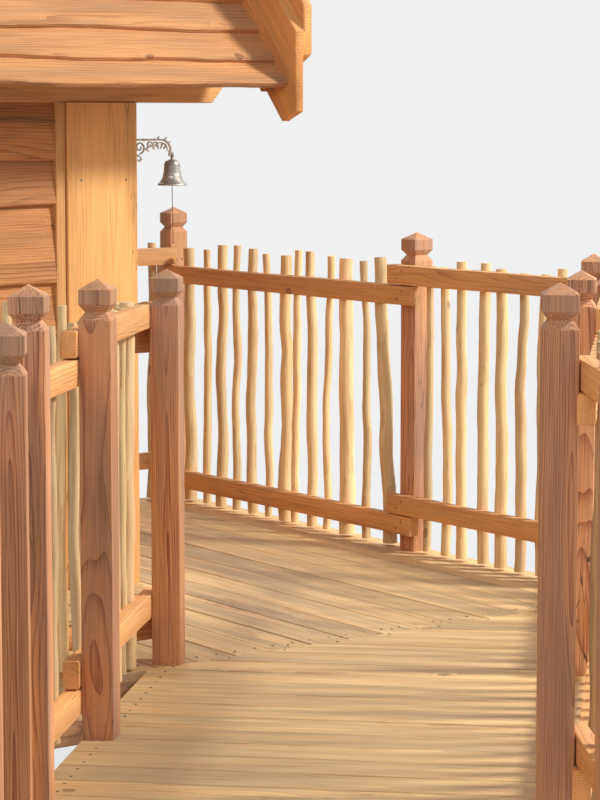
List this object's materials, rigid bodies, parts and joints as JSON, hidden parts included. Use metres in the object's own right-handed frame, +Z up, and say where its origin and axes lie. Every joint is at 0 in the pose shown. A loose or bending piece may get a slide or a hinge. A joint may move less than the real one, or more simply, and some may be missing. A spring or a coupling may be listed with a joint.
{
  "type": "tree house",
  "caption": "Tree house on timber stilts: a small gabled plank cabin with a railed terrace, a footbridge with peeled-stick railings, and a hand bell on a bracket beside the cabin's corner.",
  "frame": {"origin": "on the ground, below the cabin's front right corner, on the foot of the leg there", "axes": "+X along the front wall to the right as seen from the front, +Y from the front to the back, +Z up"},
  "size_m": [5.3188, 9.0129, 6.8293],
  "materials": {
    "post_timber": "planed, oiled softwood",
    "deck_boards": "sawn, lightly weathered",
    "frame_timber": "sawn softwood",
    "peeled_poles": "debarked round wood",
    "cabin_boards": "sawn, oiled boards",
    "cabin_timber": "sawn softwood",
    "roof_planks": "sawn planks, waney edge",
    "railing_wood": "sawn rails, peeled sticks",
    "window_glass": "clear",
    "bracket_iron": "painted, weathered",
    "bell_metal": "grey, dull",
    "clapper_iron": "dark",
    "cord_fibre": "twisted cord"
  },
  "bodies": {
    "house": {"back_wall": "cabin_boards", "bell_bracket": "bracket_iron", "bridge_bearers": "frame_timber", "bridge_deck": "deck_boards", "bridge_legs": "peeled_poles", "bridge_panel_az": "railing_wood", "bridge_panel_ba": "railing_wood", "bridge_panel_cb": "railing_wood", "bridge_panel_dc": "railing_wood", "bridge_panel_ey": "railing_wood", "bridge_panel_hi": "railing_wood", "bridge_panel_ie": "railing_wood", "bridge_panel_ut": "railing_wood", "bridge_panel_wv": "railing_wood", "bridge_panel_xu": "railing_wood", "bridge_panel_yx": "railing_wood", "bridge_panel_zw": "railing_wood", "cabin_floor": "deck_boards", "corner_boards": "cabin_boards", "deck_rim": "frame_timber", "door": "cabin_boards", "door_lining": "cabin_timber", "floor_joists": "frame_timber", "front_wall": "cabin_boards", "house_legs": "peeled_poles", "left_bargeboards": "cabin_timber", "left_bridge_posts": "post_timber", "left_wall": "cabin_boards", "leg_braces": "frame_timber", "main_beams": "frame_timber", "rafters": "cabin_timber", "ridge_beam": "cabin_timber", "ridge_boards": "cabin_timber", "right_bargeboards": "cabin_timber", "right_bridge_posts": "post_timber", "right_wall": "cabin_boards", "roof_back": "roof_planks", "roof_front": "roof_planks", "terrace_deck": "deck_boards", "terrace_panel_fg": "railing_wood", "terrace_panel_gh": "railing_wood", "terrace_panel_jl": "railing_wood", "terrace_panel_kf": "railing_wood", "terrace_panel_lm": "railing_wood", "terrace_panel_md": "railing_wood", "terrace_posts": "post_timber", "trestle_caps": "frame_timber", "wall_plates": "cabin_timber", "window_panes": "window_glass", "window_sashes": "cabin_timber"},
    "bell": {"bell": "bell_metal"},
    "clapper": {"clapper": "clapper_iron", "bell_cord": "cord_fibre"}
  },
  "joints": [
    {"name": "bell_swing", "type": "hinge", "parent": "house", "child": "bell", "pos_m": [0.19, 0.06, 4.588], "axis": [1, 0, 0], "range_deg": [-18, 18]},
    {"name": "clapper_swing", "type": "hinge", "parent": "bell", "child": "clapper", "pos_m": [0.19, 0.06, 4.556], "axis": [1, 0, 0], "range_deg": [-16, 16]}
  ]
}
